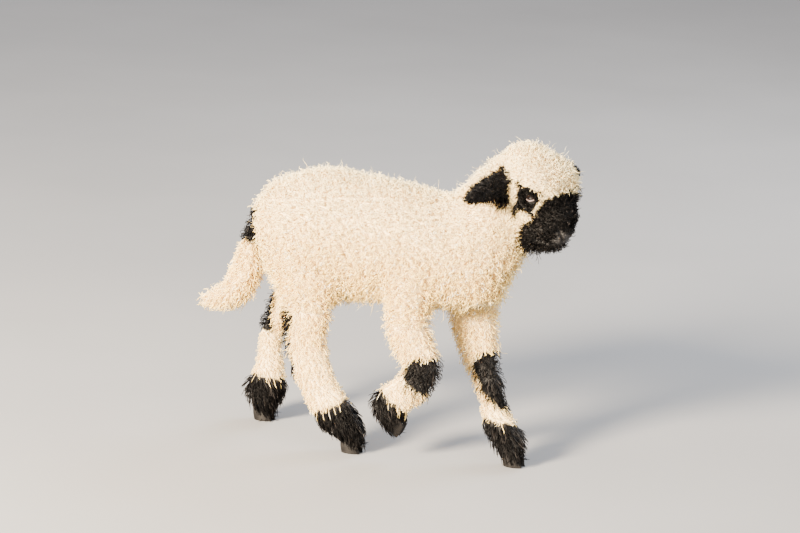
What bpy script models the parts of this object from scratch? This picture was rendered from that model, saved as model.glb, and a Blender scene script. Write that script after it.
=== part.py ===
"""Valais blacknose lamb, life size, caught mid-stride: trunk, neck, head, ears, eyes, tail, legs and claws.

Every solid gives the outline out to the tips of the wool. Metres, +Z up, the lamb walks towards +X, its left
side is +Y. The right fore leg is lifted, the other three feet stand on the floor, the head is turned right.
"""

import math

import bmesh
import bpy
import numpy as np
from mathutils import Matrix, Vector

# Fineness of the solids: the grid they are fused on, the rounds of softening and the triangles they keep
BODY_VOXEL = 0.0050
BODY_ROUNDS = 6
BODY_TRIANGLES = 4040
HEAD_VOXEL = 0.0030
HEAD_ROUNDS = 8
HEAD_AND_NECK_TRIANGLES = 2400
TAIL_VOXEL = 0.0035
TAIL_ROUNDS = 4
TAIL_TRIANGLES = 400
RING_SIDES = 24
STEPS_BETWEEN_STATIONS = 4

# Space left at a cut, and round a solid that another one is cut against
GAP = 0.0003
CLEARANCE = 0.0005

# The head's own frame: x along the bridge of the nose, y to the lamb's left, z out of the forehead
HEAD_TURN = math.radians(-24)
HEAD_NOD = math.radians(50)
MID_EYES = Vector((0.230, -0.020, 0.428))

# Every station below is one edge, the opposite edge, the place across and the half width across.
# Edges are (x, z) pairs: top and bottom for the trunk, neck and head, rear and front for tail and legs.
TRUNK = (
    (-0.224, 0.364, -0.210, 0.276, 0.000, 0.042),
    (-0.217, 0.397, -0.200, 0.232, 0.000, 0.066),
    (-0.170, 0.415, -0.168, 0.222, 0.000, 0.079),
    (-0.127, 0.428, -0.122, 0.220, 0.000, 0.082),
    (-0.062, 0.424, -0.060, 0.225, 0.000, 0.080),
    (-0.005, 0.420, -0.002, 0.233, 0.000, 0.081),
    (0.044, 0.412, 0.050, 0.234, 0.000, 0.078),
    (0.084, 0.402, 0.098, 0.231, 0.000, 0.070),
    (0.110, 0.380, 0.130, 0.238, 0.000, 0.056),
)
NECK = (
    (0.020, 0.404, 0.100, 0.236, 0.000, 0.070),
    (0.078, 0.413, 0.152, 0.240, 0.000, 0.065),
    (0.111, 0.442, 0.168, 0.271, 0.000, 0.061),
    (0.135, 0.467, 0.183, 0.299, -0.001, 0.057),
    (0.160, 0.486, 0.199, 0.325, -0.004, 0.052),
)
TAIL = (
    (-0.234, 0.362, -0.212, 0.352, 0.000, 0.014),
    (-0.250, 0.339, -0.222, 0.326, 0.000, 0.017),
    (-0.259, 0.314, -0.225, 0.300, -0.001, 0.020),
    (-0.268, 0.284, -0.222, 0.268, -0.002, 0.024),
    (-0.281, 0.248, -0.227, 0.236, -0.003, 0.027),
    (-0.297, 0.223, -0.243, 0.204, -0.003, 0.027),
    (-0.319, 0.209, -0.274, 0.183, -0.003, 0.023),
    (-0.333, 0.203, -0.310, 0.181, -0.003, 0.015),
)
LEFT_HIND = (
    (-0.225, 0.330, -0.095, 0.320, 0.034, 0.040),
    (-0.222, 0.285, -0.112, 0.255, 0.043, 0.038),
    (-0.220, 0.238, -0.136, 0.200, 0.049, 0.032),
    (-0.236, 0.200, -0.184, 0.160, 0.051, 0.025),
    (-0.250, 0.168, -0.210, 0.142, 0.051, 0.021),
    (-0.252, 0.142, -0.212, 0.126, 0.050, 0.019),
    (-0.254, 0.109, -0.210, 0.104, 0.049, 0.019),
    (-0.260, 0.080, -0.205, 0.081, 0.047, 0.021),
    (-0.272, 0.058, -0.203, 0.062, 0.046, 0.024),
    (-0.269, 0.036, -0.206, 0.041, 0.045, 0.023),
    (-0.256, 0.020, -0.216, 0.025, 0.045, 0.019),
)
RIGHT_HIND = (
    (-0.225, 0.330, -0.080, 0.320, -0.034, 0.040),
    (-0.203, 0.283, -0.074, 0.283, -0.043, 0.039),
    (-0.182, 0.236, -0.077, 0.248, -0.050, 0.035),
    (-0.170, 0.200, -0.087, 0.207, -0.053, 0.030),
    (-0.164, 0.158, -0.092, 0.167, -0.053, 0.025),
    (-0.155, 0.122, -0.085, 0.136, -0.052, 0.022),
    (-0.136, 0.088, -0.074, 0.108, -0.050, 0.021),
    (-0.115, 0.050, -0.052, 0.077, -0.048, 0.024),
    (-0.095, 0.030, -0.035, 0.051, -0.046, 0.023),
    (-0.076, 0.020, -0.031, 0.031, -0.045, 0.019),
)
LEFT_FORE = (
    (0.040, 0.330, 0.140, 0.320, 0.036, 0.036),
    (0.048, 0.270, 0.146, 0.268, 0.042, 0.035),
    (0.064, 0.212, 0.147, 0.217, 0.042, 0.031),
    (0.079, 0.165, 0.149, 0.179, 0.040, 0.026),
    (0.096, 0.132, 0.154, 0.151, 0.036, 0.021),
    (0.114, 0.109, 0.160, 0.124, 0.031, 0.018),
    (0.126, 0.081, 0.168, 0.095, 0.026, 0.017),
    (0.136, 0.053, 0.185, 0.070, 0.020, 0.021),
    (0.150, 0.034, 0.201, 0.052, 0.014, 0.022),
    (0.163, 0.021, 0.209, 0.032, 0.009, 0.019),
)
RIGHT_FORE = (
    (-0.004, 0.330, 0.090, 0.320, -0.036, 0.036),
    (-0.008, 0.270, 0.078, 0.275, -0.045, 0.036),
    (-0.004, 0.226, 0.073, 0.240, -0.051, 0.032),
    (0.002, 0.196, 0.078, 0.202, -0.053, 0.027),
    (0.013, 0.168, 0.091, 0.173, -0.053, 0.024),
    (0.029, 0.146, 0.094, 0.136, -0.052, 0.022),
    (0.016, 0.129, 0.073, 0.100, -0.052, 0.019),
    (-0.001, 0.117, 0.050, 0.084, -0.051, 0.018),
    (-0.018, 0.095, 0.044, 0.080, -0.050, 0.022),
    (-0.013, 0.070, 0.040, 0.068, -0.050, 0.022),
    (-0.003, 0.059, 0.033, 0.059, -0.050, 0.019),
)

# Head stations in the head's frame: skull with cheeks and muzzle, then the dome of wool on the forehead
FACE = (
    (-0.060, 0.030, -0.060, -0.040, 0.000, 0.038),
    (-0.035, 0.050, -0.038, -0.056, 0.000, 0.047),
    (-0.006, 0.050, -0.010, -0.078, 0.000, 0.047),
    (0.018, 0.043, 0.010, -0.092, 0.000, 0.044),
    (0.041, 0.038, 0.034, -0.091, 0.000, 0.039),
    (0.056, 0.031, 0.056, -0.075, 0.000, 0.032),
    (0.064, 0.018, 0.068, -0.052, 0.000, 0.020),
)
TOPKNOT = (
    (-0.054, 0.040, -0.066, -0.012, 0.000, 0.036),
    (-0.037, 0.051, -0.053, -0.016, 0.000, 0.050),
    (-0.014, 0.057, -0.024, -0.012, 0.000, 0.055),
    (0.008, 0.053, 0.000, 0.004, 0.000, 0.050),
    (0.022, 0.045, 0.018, 0.010, 0.000, 0.037),
)

# Eyes, in the head's frame
EYE_RADIUS = 0.0115
EYE_ALONG = 0.0035
EYE_SPREAD = 0.0250
EYE_UP = 0.0045
HOLLOW_SPREAD = 0.0480
HOLLOW_SIZE = Vector((0.0150, 0.0125, 0.0105))

# Ears, in the head's frame: root and tip of the right and of the left one, and the way across the blades
RIGHT_EAR = (Vector((-0.037, -0.036, -0.012)), Vector((-0.028, -0.117, -0.038)))
LEFT_EAR = (Vector((-0.037, 0.036, -0.010)), Vector((-0.034, 0.117, -0.024)))
ACROSS_EARS = Vector((0.950, 0.000, -0.310))
EAR_HALF_WIDTHS = (0.0165, 0.0212, 0.0228, 0.0224, 0.0210, 0.0186, 0.0154, 0.0115, 0.0060)
EAR_COLUMNS = 6
EAR_CUP = 0.0075
EAR_THICKNESS = 0.0062

# Claws: the middle of each foot on the floor, the way it points, and how far it is tipped forward
CLAW_LENGTH = 0.030
CLAW_WIDTH = 0.0136
CLAW_HEIGHT = 0.020
CLAW_PARTING = 0.0014
CLAW_SIDES = 10
FEET = {
    "hind_left": (Vector((-0.238, 0.045, 0.0)), 0.0, 0.0),
    "hind_right": (Vector((-0.050, -0.045, 0.0)), 0.0, 0.0),
    "fore_left": (Vector((0.192, 0.008, 0.0)), -4.0, 0.0),
    "fore_right": (Vector((0.018, -0.050, 0.050)), 0.0, 58.0),
}

# Cuts: a point on the cut and the way it faces; the ends of the neck, then the legs at the body and half way
NECK_TO_HEAD = (Vector((0.170, -0.008, 0.400)), Vector((0.930, -0.250, 0.260)))
TRUNK_TO_NECK = (Vector((0.104, 0.000, 0.330)), Vector((0.900, 0.000, 0.436)))
LEG_TOP = 0.214
LEG_REGIONS = {
    "hind_left": ((-0.40, 0.0, -0.05), (-0.0225, 0.15, LEG_TOP)),
    "hind_right": ((-0.40, -0.15, -0.05), (-0.0225, 0.0, LEG_TOP)),
    "fore_left": ((-0.0225, -0.0215, -0.05), (0.30, 0.15, LEG_TOP)),
    "fore_right": ((-0.0225, -0.15, -0.05), (0.30, -0.0215, LEG_TOP)),
}
MID_LEG = {
    "hind_left": (Vector((-0.232, 0.05, 0.146)), Vector((0.300, 0.0, 0.954))),
    "hind_right": (Vector((-0.128, -0.05, 0.146)), Vector((-0.200, 0.0, 0.980))),
    "fore_left": (Vector((0.130, 0.03, 0.124)), Vector((-0.300, 0.0, 0.954))),
    "fore_right": (Vector((0.050, -0.05, 0.126)), Vector((0.600, 0.0, 0.800))),
}

COLOURS = {
    "cream_wool": (0.80, 0.72, 0.58, 1.0),
    "black_wool": (0.020, 0.016, 0.014, 1.0),
    "eye": (0.030, 0.016, 0.008, 1.0),
    "hoof": (0.045, 0.036, 0.030, 1.0),
}


def clear_scene():
    for old in list(bpy.data.objects):
        bpy.data.objects.remove(old)


def paint(name):
    made = bpy.data.materials.get(name)
    if made is None:
        made = bpy.data.materials.new(name)
        made.use_nodes = True
        principled = made.node_tree.nodes["Principled BSDF"]
        principled.inputs["Base Color"].default_value = COLOURS[name]
        principled.inputs["Roughness"].default_value = 0.15 if name == "eye" else 0.85
        made.diffuse_color = COLOURS[name]
    return made


def show(name, shape, colour):
    """Puts a bmesh into the scene as a named object."""
    mesh = bpy.data.meshes.new(name)
    shape.to_mesh(mesh)
    shape.free()
    made = bpy.data.objects.new(name, mesh)
    bpy.context.scene.collection.objects.link(made)
    mesh.materials.append(paint(colour))
    for face in mesh.polygons:
        face.use_smooth = True
    return made


def smooth_path(stations):
    """The stations with Catmull-Rom rows between them."""
    rows = np.array(stations, float)
    ends = np.vstack([2 * rows[0] - rows[1], rows, 2 * rows[-1] - rows[-2]])
    made = []
    for i in range(1, len(rows)):
        p0, p1, p2, p3 = ends[i - 1 : i + 3]
        for k in range(STEPS_BETWEEN_STATIONS):
            t = k / STEPS_BETWEEN_STATIONS
            bend = 2 * p0 - 5 * p1 + 4 * p2 - p3
            twist = 3 * p1 - p0 - 3 * p2 + p3
            made.append(0.5 * (2 * p1 + (p2 - p0) * t + bend * t**2 + twist * t**3))
    made.append(rows[-1])
    return np.array(made)


def loft(stations, place=None):
    """A closed tube with domed ends, its rings spanning the edges of the stations."""
    rows = smooth_path(stations)
    flat = np.zeros(len(rows))
    one = np.column_stack([rows[:, 0], flat, rows[:, 1]])
    other = np.column_stack([rows[:, 2], flat, rows[:, 3]])
    middle = (one + other) / 2
    middle[:, 1] = rows[:, 4]
    deep = (other - one) / 2
    wide = rows[:, 5]
    heading = np.gradient(middle, axis=0)
    heading /= np.linalg.norm(heading, axis=1)[:, None]
    dome = ((0.35, 0.94), (0.66, 0.75), (0.90, 0.42))
    rings = [(0, shrink, -push) for push, shrink in reversed(dome)]
    rings += [(i, 1.0, 0.0) for i in range(len(rows))]
    rings += [(len(rows) - 1, shrink, push) for push, shrink in dome]
    shape = bmesh.new()
    loops = []
    for i, shrink, push in rings:
        reach = push * min(wide[i], np.linalg.norm(deep[i]))
        centre = middle[i] + heading[i] * reach
        loop = []
        for k in range(RING_SIDES):
            turn = 2 * math.pi * k / RING_SIDES
            offset = deep[i] * math.cos(turn) + np.array((0, wide[i], 0)) * math.sin(turn)
            loop.append(shape.verts.new(centre + shrink * offset))
        loops.append(loop)
    for first, second in zip(loops, loops[1:]):
        for k in range(RING_SIDES):
            after = (k + 1) % RING_SIDES
            shape.faces.new((first[k], first[after], second[after], second[k]))
    shape.faces.new(loops[0][::-1])
    shape.faces.new(loops[-1])
    if place is not None:
        shape.transform(place)
    bmesh.ops.recalc_face_normals(shape, faces=shape.faces)
    return shape


def head_place():
    """The head's frame as a matrix."""
    turn = Matrix.Rotation(HEAD_TURN, 4, "Z")
    return Matrix.Translation(MID_EYES) @ turn @ Matrix.Rotation(HEAD_NOD, 4, "Y")


def together(shapes):
    """One bmesh holding all the shapes."""
    whole = bmesh.new()
    for shape in shapes:
        mesh = bpy.data.meshes.new("flesh")
        shape.to_mesh(mesh)
        shape.free()
        whole.from_mesh(mesh)
        bpy.data.meshes.remove(mesh)
    return whole


def made_real(piece):
    """The piece's modifiers turned into its mesh."""
    graph = bpy.context.evaluated_depsgraph_get()
    mesh = bpy.data.meshes.new_from_object(piece.evaluated_get(graph))
    piece.modifiers.clear()
    piece.data = mesh
    return piece


def fuse(name, shapes, voxel, rounds, triangles):
    """One closed skin over all the shapes."""
    piece = show(name, together(shapes), "cream_wool")
    remesh = piece.modifiers.new("fuse", "REMESH")
    remesh.mode = "VOXEL"
    remesh.voxel_size = voxel
    soften = piece.modifiers.new("soften", "SMOOTH")
    soften.factor = 0.5
    soften.iterations = rounds
    made_real(piece)
    faces = sum(len(face.vertices) - 2 for face in piece.data.polygons)
    thin = piece.modifiers.new("thin", "DECIMATE")
    thin.ratio = min(1.0, triangles / faces)
    return made_real(piece)


def combine(piece, other, operation):
    """The piece with the other solid cut away from it, or kept only inside it."""
    change = piece.modifiers.new("cut", "BOOLEAN")
    change.operation = operation
    change.object = other
    change.solver = "EXACT"
    return made_real(piece)


def largest_only(piece):
    """Drops the crumbs that a cut can leave."""
    shape = bmesh.new()
    shape.from_mesh(piece.data)
    left = set(shape.verts)
    bodies = []
    while left:
        body, edge = set(), [left.pop()]
        while edge:
            vertex = edge.pop()
            body.add(vertex)
            for other in [link.other_vert(vertex) for link in vertex.link_edges]:
                if other in left:
                    left.remove(other)
                    edge.append(other)
        bodies.append(body)
    bodies.sort(key=len)
    for crumb in bodies[:-1]:
        bmesh.ops.delete(shape, geom=list(crumb), context="VERTS")
    shape.to_mesh(piece.data)
    shape.free()


def copy_of(piece, name):
    made = bpy.data.objects.new(name, piece.data.copy())
    bpy.context.scene.collection.objects.link(made)
    return made


def swollen(piece, distance):
    """A copy of the piece, a little larger all round, to cut others with."""
    made = copy_of(piece, "swollen")
    for vertex, normal in [(v, v.normal.copy()) for v in made.data.vertices]:
        vertex.co += normal * distance
    return made


def discard(*pieces):
    for piece in pieces:
        bpy.data.objects.remove(piece)


def box_between(low, high):
    shape = bmesh.new()
    low, high = Vector(low), Vector(high)
    size = Matrix.Diagonal((*(high - low), 1.0))
    bmesh.ops.create_cube(shape, size=1.0, matrix=Matrix.Translation((low + high) / 2) @ size)
    return show("cutter", shape, "cream_wool")


def half_space(cut, side, gap, reach=0.6):
    """A large box on one side of a cut, half the gap away from it."""
    point, way = cut
    way = way.normalized() * side
    turn = way.to_track_quat("Z", "Y").to_matrix().to_4x4()
    centre = point + way * (reach / 2 + gap / 2)
    shape = bmesh.new()
    bmesh.ops.create_cube(shape, size=reach, matrix=Matrix.Translation(centre) @ turn)
    return show("cutter", shape, "cream_wool")


def keep(piece, *cutters):
    """The piece kept only inside each of the cutters."""
    for cutter in cutters:
        combine(piece, cutter, "INTERSECT")
    discard(*cutters)
    return piece


def ball(centre, radii, place, segments=18, rings=11):
    shape = bmesh.new()
    bmesh.ops.create_uvsphere(shape, u_segments=segments, v_segments=rings, radius=1.0)
    shape.transform(place @ Matrix.Translation(centre) @ Matrix.Diagonal((*radii, 1.0)))
    return shape


def ear_shape(ear, place):
    """A cupped leaf, as thick as its fur."""
    root, tip = ear
    along = tip - root
    across = ACROSS_EARS - along * (ACROSS_EARS.dot(along) / along.length_squared)
    across.normalize()
    back = along.cross(across).normalized()
    if back.z < 0:
        back.negate()
    shape = bmesh.new()
    places = [2 * k / EAR_COLUMNS - 1 for k in range(EAR_COLUMNS + 1)]
    front, rear = [], []
    last = len(EAR_HALF_WIDTHS) - 1
    for i, half in enumerate(EAR_HALF_WIDTHS):
        share = i / last
        middle = root + along * share
        sheet = []
        for u in places:
            bowl = EAR_CUP * (1 - share**2) * (u * u - 0.4)
            sheet.append(middle + across * (u * half) - back * bowl)
        thin = EAR_THICKNESS * (0.85 if i == last else 1.0)
        edge = [thin * (0.30 + 0.70 * math.sqrt(1 - u * u)) for u in places]
        front.append([shape.verts.new(p - back * (t / 2)) for p, t in zip(sheet, edge)])
        rear.append([shape.verts.new(p + back * (t / 2)) for p, t in zip(sheet, edge)])
    for i in range(last):
        for k in range(EAR_COLUMNS):
            shape.faces.new((front[i][k], front[i][k + 1], front[i + 1][k + 1], front[i + 1][k]))
            shape.faces.new((rear[i][k], rear[i + 1][k], rear[i + 1][k + 1], rear[i][k + 1]))
        for k in (0, EAR_COLUMNS):
            shape.faces.new((front[i][k], front[i + 1][k], rear[i + 1][k], rear[i][k]))
    for i in (0, last):
        for k in range(EAR_COLUMNS):
            shape.faces.new((front[i][k], rear[i][k], rear[i][k + 1], front[i][k + 1]))
    shape.transform(place)
    bmesh.ops.recalc_face_normals(shape, faces=shape.faces)
    return shape


def claw_shape(side):
    """One claw pointing along +X with its flat sole on the floor; side is +1 for the left claw of a foot."""
    levels = ((0.0, 0.96, 0.0), (0.5 * CLAW_HEIGHT, 0.90, -0.0030), (CLAW_HEIGHT, 0.70, -0.0065))
    shape = bmesh.new()
    loops = []
    for height, scale, back in levels:
        loop = []
        for k in range(CLAW_SIDES):
            turn = 2 * math.pi * k / CLAW_SIDES
            x = math.cos(turn)
            point = CLAW_LENGTH / 2 * scale * (x if x < 0 else x * (1.0 + 0.12 * x))
            bulge = math.sin(turn) * (1 - 0.45 * max(0.0, x) ** 2)
            y = CLAW_WIDTH / 2 * scale * bulge * (1.0 if bulge * side > 0 else 0.72)
            inner = side * (CLAW_PARTING / 2 + CLAW_WIDTH / 2 * 0.80)
            loop.append(shape.verts.new((point + back, y + inner, height)))
        loops.append(loop)
    for first, second in zip(loops, loops[1:]):
        for k in range(CLAW_SIDES):
            after = (k + 1) % CLAW_SIDES
            shape.faces.new((first[k], first[after], second[after], second[k]))
    shape.faces.new(loops[0][::-1])
    shape.faces.new(loops[-1])
    bmesh.ops.recalc_face_normals(shape, faces=shape.faces)
    return shape


def foot_place(foot):
    spot, heading, tip = FEET[foot]
    turn = Matrix.Rotation(math.radians(heading), 4, "Z")
    return Matrix.Translation(spot) @ turn @ Matrix.Rotation(math.radians(tip), 4, "Y")


def stand_over_origin(pieces):
    """Moves all the pieces so that the middle of their outer box is over the origin."""
    points = np.array([v.co for piece in pieces for v in piece.data.vertices])
    low, high = points.min(axis=0), points.max(axis=0)
    middle = (low + high) / 2
    for piece in pieces:
        piece.data.transform(Matrix.Translation((-middle[0], -middle[1], -low[2])))
        for face in piece.data.polygons:
            face.use_smooth = True


def main():
    clear_scene()
    head = head_place()
    limbs = (LEFT_HIND, RIGHT_HIND, LEFT_FORE, RIGHT_FORE)
    skull = [loft(s, head) for s in (FACE, TOPKNOT)]
    flesh = [loft(s) for s in (TRUNK, NECK, *limbs)] + skull
    body = fuse("body", flesh, BODY_VOXEL, BODY_ROUNDS, BODY_TRIANGLES)

    skull = [loft(s, head) for s in (FACE, TOPKNOT)]
    top = fuse("top", [loft(NECK)] + skull, HEAD_VOXEL, HEAD_ROUNDS, HEAD_AND_NECK_TRIANGLES)
    face = keep(top, half_space(NECK_TO_HEAD, 1, GAP))
    face.name = "head"
    for side, name in ((-1, "right"), (1, "left")):
        beside_eye = (EYE_ALONG, side * HOLLOW_SPREAD, EYE_UP)
        hollow = show("cutter", ball(beside_eye, HOLLOW_SIZE, head), "cream_wool")
        combine(face, hollow, "DIFFERENCE")
        room = EYE_RADIUS + GAP
        spot = (EYE_ALONG, side * EYE_SPREAD, EYE_UP)
        socket = show("cutter", ball(spot, (room,) * 3, head), "cream_wool")
        combine(face, socket, "DIFFERENCE")
        discard(hollow, socket)
        show(f"eye_{name}", ball(spot, (EYE_RADIUS,) * 3, head, 16, 10), "eye")
    cutter = swollen(face, CLEARANCE)
    for ear, name in ((RIGHT_EAR, "right"), (LEFT_EAR, "left")):
        leaf = show(f"ear_{name}", ear_shape(ear, head), "black_wool")
        largest_only(combine(leaf, cutter, "DIFFERENCE"))
    discard(cutter)

    neck = copy_of(body, "neck")
    keep(neck, half_space(NECK_TO_HEAD, -1, GAP), half_space(TRUNK_TO_NECK, 1, GAP))
    trunk = copy_of(body, "trunk")
    above_legs = box_between((-0.6, -0.3, LEG_TOP + GAP / 2), (0.6, 0.3, 0.6))
    keep(trunk, half_space(TRUNK_TO_NECK, -1, GAP), above_legs)
    for leg, (low, high) in LEG_REGIONS.items():
        part, side = leg.split("_")
        high = (high[0], high[1], high[2] - GAP / 2)
        for level, facing in (("upper", 1), ("lower", -1)):
            piece = copy_of(body, f"{part}_leg_{level}_{side}")
            keep(piece, box_between(low, high), half_space(MID_LEG[leg], facing, GAP))
            if level == "lower":
                cutter = swollen(piece, CLEARANCE)
                for way, which in ((1, "left"), (-1, "right")):
                    shape = claw_shape(way)
                    shape.transform(foot_place(leg))
                    claw = show(f"claw_{part}_{side}_{which}", shape, "hoof")
                    largest_only(combine(claw, cutter, "DIFFERENCE"))
                discard(cutter)

    tail = fuse("tail", [loft(TAIL)], TAIL_VOXEL, TAIL_ROUNDS, TAIL_TRIANGLES)
    cutter = swollen(body, CLEARANCE)
    combine(tail, cutter, "DIFFERENCE")
    largest_only(tail)
    discard(cutter, body)

    stand_over_origin(list(bpy.context.scene.objects))


main()
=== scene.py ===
"""Looks of the Valais blacknose lamb: one skin, its curly coat, eyes and claws, over the fixed solids.

Places are in metres in the drawing frame, in which the lamb walks towards +X and its left side is +Y.
`settled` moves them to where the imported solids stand.
"""

import math

import bmesh
import bpy
import numpy as np
from mathutils import Matrix, Vector
from mathutils.bvhtree import BVHTree
from mathutils.kdtree import KDTree


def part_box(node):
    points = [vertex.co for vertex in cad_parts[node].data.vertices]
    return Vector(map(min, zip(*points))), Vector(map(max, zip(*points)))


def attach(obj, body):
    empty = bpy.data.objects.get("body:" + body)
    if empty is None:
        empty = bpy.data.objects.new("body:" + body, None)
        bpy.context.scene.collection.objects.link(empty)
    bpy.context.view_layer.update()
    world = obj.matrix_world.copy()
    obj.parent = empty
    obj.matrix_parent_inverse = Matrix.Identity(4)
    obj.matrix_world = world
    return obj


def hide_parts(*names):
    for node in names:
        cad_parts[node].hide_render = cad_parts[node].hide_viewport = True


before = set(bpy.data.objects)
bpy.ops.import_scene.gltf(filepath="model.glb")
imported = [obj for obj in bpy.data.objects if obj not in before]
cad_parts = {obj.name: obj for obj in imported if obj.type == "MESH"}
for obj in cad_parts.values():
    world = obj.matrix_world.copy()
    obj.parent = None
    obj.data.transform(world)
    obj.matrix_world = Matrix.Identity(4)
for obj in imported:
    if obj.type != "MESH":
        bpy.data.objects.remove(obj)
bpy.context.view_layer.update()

# The head's own frame: x along the bridge of the nose, y to the lamb's left, z out of the forehead
HEAD_TURN = math.radians(-24)
HEAD_NOD = math.radians(50)
MID_EYES = Vector((0.230, -0.020, 0.428))
EYE_RADIUS = 0.0115
EYE_ALONG = 0.0035
EYE_SPREAD = 0.0250
EYE_UP = 0.0045
EYE_TILT = math.radians(50)

# The camera, in the drawing frame
CAMERA_TARGET = Vector((0.0, 0.0, 0.286))
CAMERA_AZIMUTH = math.radians(22)
CAMERA_HEIGHT = math.radians(14)
CAMERA_ROLL = math.radians(2)
CAMERA_DISTANCE = 4.5
PIXELS_PER_METRE = 667
PHOTO_WIDTH = 800

# The skin: how far the nodes of flesh swell to meet and the eye sockets are overfilled, then how finely the
# outline and the skin are remeshed and how often they are softened
SEAM_CLOSING = 0.0004
SOCKET_FILLING = 0.0006
OUTLINE_VOXEL = 0.0022
OUTLINE_ROUNDS = 5
SKIN_VOXEL = 0.0028
SKIN_ROUNDS = 4
FLESH = [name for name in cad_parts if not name.startswith(("eye", "claw"))]

# How deep the coat lies over each part, and how that changes over the head
COAT_DEPTH = {
    "trunk": 0.0135,
    "neck": 0.0140,
    "head": 0.0095,
    "tail": 0.0100,
    "ear": 0.0012,
    "leg_upper": 0.0090,
    "leg_lower": 0.0052,
}
ZONES = list(COAT_DEPTH)
CROWN_EXTRA = 0.0050
JAW_EXTRA = 0.0050
MUZZLE_DEPTH = 0.0045
CHIN_EXTRA = 0.0085
EYE_DEPTH = 0.0015

# Splitting the skin's faces: the reach round the eyes and the start along the nose, each finer than the last.
# Nothing of the head lies past HEAD_REACH, so the last of them splits the lids alone.
HEAD_REACH = 0.11
FINER = ((0.021, 0.046), (0.015, 0.058), (0.0115, HEAD_REACH))
CALMED = (0.021, 0.042)

# The lids, in the eye's own plane: how far they reach, from where they blend into the face, half the length
# of the opening, the heights of its two arches, its slope, and how far the skin lies over and under the
# eyeball. The edge's bulge and the crease over the upper lid are a height, a distance and a width.
LID_REACH = 0.018
LID_BLEND = (0.0100, 0.0165)
OPENING_HALF = 0.0104
UPPER_ARCH = 0.0050
LOWER_ARCH = 0.0036
OPENING_SLOPE = 0.08
LID_OVER = 0.0013
LID_UNDER = 0.0018
LID_BULGE = (0.0006, 0.0012, 0.0010)
LID_CREASE = (0.0007, 0.0034, 0.0010)
CREASE_REACH = 0.0105

# How many locks each kind of coat has, the most triangles in one piece, the size of a lock's patch on the
# unwrap and the least height of hair over the floor
LOCKS = {"wool": 22500, "crown": 5600, "leg": 6600, "tail": 1900, "fuzz": 8800, "foot": 3200, "stray": 2600}
PIECE_LIMIT = 190000
PATCH = 0.003
FLOOR_CLEARANCE = 0.0003


def head_matrix():
    """The head's frame in the drawing frame."""
    turn = Matrix.Rotation(HEAD_TURN, 4, "Z")
    return Matrix.Translation(MID_EYES) @ turn @ Matrix.Rotation(HEAD_NOD, 4, "Y")


def drawing_shift():
    """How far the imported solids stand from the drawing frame, read from where the eyes are."""
    middles = [(low + high) / 2 for low, high in (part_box("eye_left"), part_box("eye_right"))]
    return (middles[0] + middles[1]) / 2 - head_matrix() @ Vector((EYE_ALONG, 0, EYE_UP))


SHIFT = drawing_shift()
HEAD = Matrix.Translation(SHIFT) @ head_matrix()
HEAD_AXES = np.array(HEAD.to_3x3())
HEAD_ORIGIN = np.array(HEAD.translation)


def settled(point):
    return np.array(point, float) + np.array(SHIFT)


def in_head(points):
    """Points in the head's own frame."""
    return (points - HEAD_ORIGIN) @ HEAD_AXES


def from_head(points):
    return points @ HEAD_AXES.T + HEAD_ORIGIN


def eye_place(side):
    """Where the right (-1) or left (1) eyeball stands."""
    return HEAD @ Matrix.Translation((EYE_ALONG, side * EYE_SPREAD, EYE_UP))


def on_part(zones, name):
    return zones == ZONES.index(name)


def unit(vectors):
    return vectors / np.maximum(np.linalg.norm(vectors, axis=-1, keepdims=True), 1e-12)


def ramp(values, low, high):
    """0 below low, 1 above high, smooth between; low may be the larger."""
    t = np.clip((values - low) / (high - low), 0, 1)
    return t * t * (3 - 2 * t)


def read(items, key, width, kind=np.float32):
    """One row of numbers for each item."""
    flat = np.empty(len(items) * width, kind)
    items.foreach_get(key, flat)
    return flat.reshape(-1, width)


def points_of(mesh):
    return read(mesh.vertices, "co", 3).astype(float)


def normals_of(mesh):
    return read(mesh.vertex_normals, "vector", 3).astype(float)


def edges_of(mesh):
    return read(mesh.edges, "vertices", 2, np.int32)


def relaxed(values, edges, rounds):
    """Values on vertices, averaged with their neighbours several times."""
    count = len(values)
    ends = np.concatenate([edges[:, 0], edges[:, 1]])
    others = np.concatenate([edges[:, 1], edges[:, 0]])
    share = np.maximum(np.bincount(ends, minlength=count), 1)
    made = np.array(values, float)
    columns = made.reshape(count, -1)
    for _ in range(rounds):
        for k in range(columns.shape[1]):
            around = np.bincount(ends, weights=columns[others, k], minlength=count) / share
            columns[:, k] = 0.5 * columns[:, k] + 0.5 * around
    return columns.reshape(made.shape)


def ripple(points, scale, seed):
    """Smooth noise from -1 to 1 at points: sines along random directions."""
    rng = np.random.default_rng(seed)
    total = np.zeros(len(points))
    for _ in range(6):
        way = rng.normal(size=3) / scale
        total += np.sin(points @ way + rng.uniform(0, 6.28))
    return total / 3.5


def mesh_of(name, shape):
    """The finished shape as a mesh."""
    mesh = bpy.data.meshes.new(name)
    shape.to_mesh(mesh)
    shape.free()
    return mesh


def linked(name, mesh):
    made = bpy.data.objects.new(name, mesh)
    bpy.context.scene.collection.objects.link(made)
    return made


def made_real(piece):
    graph = bpy.context.evaluated_depsgraph_get()
    mesh = bpy.data.meshes.new_from_object(piece.evaluated_get(graph))
    piece.modifiers.clear()
    piece.data = mesh
    return piece


def remeshed(piece, voxel, rounds):
    change = piece.modifiers.new("fuse", "REMESH")
    change.mode = "VOXEL"
    change.voxel_size = voxel
    soften = piece.modifiers.new("soften", "SMOOTH")
    soften.factor = 0.5
    soften.iterations = rounds
    return made_real(piece)


def seated(piece, slot, *nodes):
    """Hangs the finished piece on the root and hides the solids that it stands for."""
    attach(piece, "root")
    if nodes:
        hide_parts(*nodes)
    return piece


# The skin


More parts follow.
